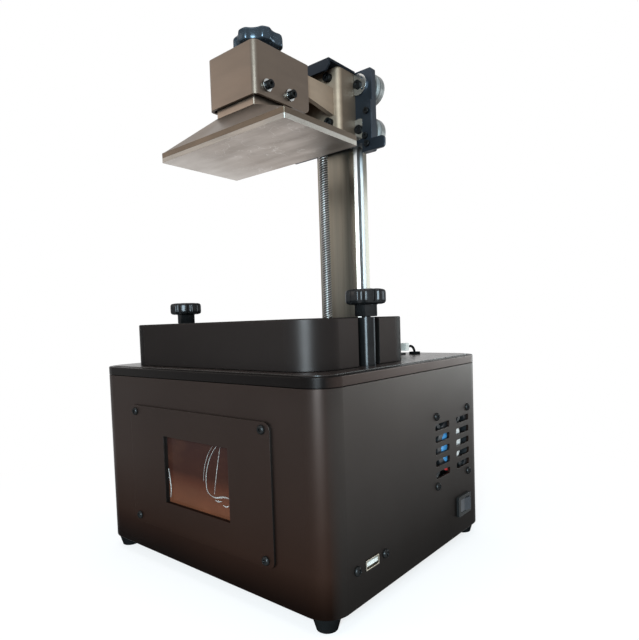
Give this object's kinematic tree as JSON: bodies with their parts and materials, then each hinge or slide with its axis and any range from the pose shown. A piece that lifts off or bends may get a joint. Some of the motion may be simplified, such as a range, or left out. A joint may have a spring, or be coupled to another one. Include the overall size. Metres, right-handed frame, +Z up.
{
  "type": "resin 3-D printer",
  "caption": "Desktop resin printer: black case with front touch screen, clamped vat over a lit mask, and a bronze cantilever platform on a screw-driven column.",
  "frame": {"origin": "Centre of the base's footprint, on the surface the feet stand on.", "axes": "+Z up; -Y is the front with the touch screen; +X is the side with the switch and the data socket."},
  "size_m": [0.2338, 0.2048, 0.3884],
  "materials": {
    "case_black": "satin powder coat",
    "bronze_metal": "satin bronze anodise",
    "slab_silver": "brushed",
    "column_silver": "brushed clear anodise",
    "steel": "turned",
    "bright_steel": "nickel plate",
    "black_steel": "black oxide",
    "carriage_black": "satin",
    "knob_black": "gloss",
    "black_plastic": "fine matte",
    "white_plastic": "matte",
    "wheel_grey": "moulded, pale grey",
    "foot_rubber": "matte",
    "screen_glass": "clear over dark screen",
    "mask_glass": "clear over dark panel",
    "film_clear": "clear film",
    "board_green": "solder mask",
    "brass": "turned"
  },
  "bodies": {
    "base": {"base_shell": "case_black", "base_plate": "case_black", "feet": "foot_rubber", "lid_frame": "case_black", "deck_plate": "case_black", "mask_glass": "mask_glass", "mask_panel": "black_plastic", "light_hood": "black_plastic", "led_board": "board_green", "led_heatsink": "column_silver", "main_board": "board_green", "standoffs": "brass", "front_panel": "case_black", "touch_glass": "screen_glass", "touch_screen": "black_plastic", "fan_frame": "black_plastic", "port_shell": "bright_steel", "port_tongue": "white_plastic", "port_bar": "black_plastic", "switch_housing": "black_plastic", "power_inlet": "black_plastic", "case_screws": "black_steel", "column": "column_silver", "column_base": "column_silver", "column_bolts": "steel", "motor_screws": "steel", "z_motor": "steel", "vat_posts": "knob_black", "limit_switch": "black_plastic", "limit_plug": "white_plastic", "cable_grommet": "foot_rubber", "limit_cable": "foot_rubber"},
    "fan_rotor": {"fan_impeller": "black_plastic"},
    "power_switch": {"switch_rocker": "black_plastic"},
    "switch_lever": {"limit_lever": "steel"},
    "screw": {"lead_screw": "steel"},
    "carriage": {"carriage_plate": "carriage_black", "wheel_axles": "steel", "wheel_bushes": "bright_steel", "limit_flag": "carriage_black", "carriage_screws": "black_steel", "arm": "bronze_metal", "arm_cover": "carriage_black", "arm_screws": "black_steel", "lead_nut": "brass"},
    "wheel_1": {"wheel_middle_left": "wheel_grey"},
    "wheel_2": {"wheel_upper_right": "wheel_grey"},
    "wheel_3": {"wheel_lower_right": "wheel_grey"},
    "cap": {"clamp_cap": "bronze_metal"},
    "cap_knob": {"clamp_knob": "knob_black"},
    "platform": {"platform_slab": "slab_silver", "platform_body": "bronze_metal", "level_screws": "black_steel", "level_washers": "bright_steel"},
    "vat": {"vat_tank": "case_black", "release_film": "film_clear", "film_frame": "steel"},
    "left_knob": {"vat_knob_left": "knob_black"},
    "right_knob": {"vat_knob_right": "knob_black"}
  },
  "joints": [
    {"name": "z_axis", "type": "slide", "parent": "base", "child": "carriage", "axis": [0, 0, 1], "range_m": [-0.151, 0.003]},
    {"name": "lead_screw_turn", "type": "hinge", "parent": "base", "child": "screw", "pos_m": [0, 0.0495, 0.24], "axis": [0, 0, 1], "range_deg": [-200, 7000]},
    {"name": "wheel_middle_left_roll", "type": "hinge", "parent": "carriage", "child": "wheel_1", "pos_m": [-0.032, 0.0761, 0.35125], "axis": [0, 1, 0], "range_deg": [-720, 720]},
    {"name": "wheel_upper_right_roll", "type": "hinge", "parent": "carriage", "child": "wheel_2", "pos_m": [0.032, 0.0761, 0.3695], "axis": [0, 1, 0], "range_deg": [-720, 720]},
    {"name": "wheel_lower_right_roll", "type": "hinge", "parent": "carriage", "child": "wheel_3", "pos_m": [0.032, 0.0761, 0.333], "axis": [0, 1, 0], "range_deg": [-720, 720]},
    {"name": "platform_removal", "type": "slide", "parent": "carriage", "child": "cap", "axis": [0, -1, 0], "range_m": [0, 0.08]},
    {"name": "clamp_knob_turn", "type": "hinge", "parent": "cap", "child": "cap_knob", "pos_m": [0, -0.024, 0.375], "axis": [0, 0, 1], "range_deg": [0, 720]},
    {"name": "platform_level", "type": "hinge", "parent": "cap", "child": "platform", "pos_m": [0, -0.03, 0.3403], "axis": [1, 0, 0], "range_deg": [-1, 1]},
    {"name": "vat_lift", "type": "slide", "parent": "base", "child": "vat", "axis": [0, 0, 1], "range_m": [0, 0.06]},
    {"name": "vat_knob_left_turn", "type": "hinge", "parent": "vat", "child": "left_knob", "pos_m": [-0.095, -0.03, 0.185], "axis": [0, 0, 1], "range_deg": [0, 720]},
    {"name": "vat_knob_right_turn", "type": "hinge", "parent": "vat", "child": "right_knob", "pos_m": [0.095, -0.03, 0.185], "axis": [0, 0, 1], "range_deg": [0, 720]},
    {"name": "power_rocker", "type": "hinge", "parent": "base", "child": "power_switch", "pos_m": [0.1156, 0.064, 0.031], "axis": [0, 0, 1], "range_deg": [0, 18]},
    {"name": "fan_spin", "type": "hinge", "parent": "base", "child": "fan_rotor", "pos_m": [0.1035, 0.0496, 0.0796], "axis": [1, 0, 0], "continuous": true},
    {"name": "limit_lever_press", "type": "hinge", "parent": "base", "child": "switch_lever", "pos_m": [0.046, 0.05865, 0.1606], "axis": [0, 1, 0], "range_deg": [0, 3], "stiffness_Nm_per_rad": 0.05}
  ],
  "couplings": [
    {"joint": "lead_screw_turn", "follows": "z_axis", "rad_per_m": -785.4},
    {"joint": "wheel_middle_left_roll", "follows": "z_axis", "rad_per_m": 79.4},
    {"joint": "wheel_upper_right_roll", "follows": "z_axis", "rad_per_m": -79.4},
    {"joint": "wheel_lower_right_roll", "follows": "z_axis", "rad_per_m": -79.4}
  ]
}
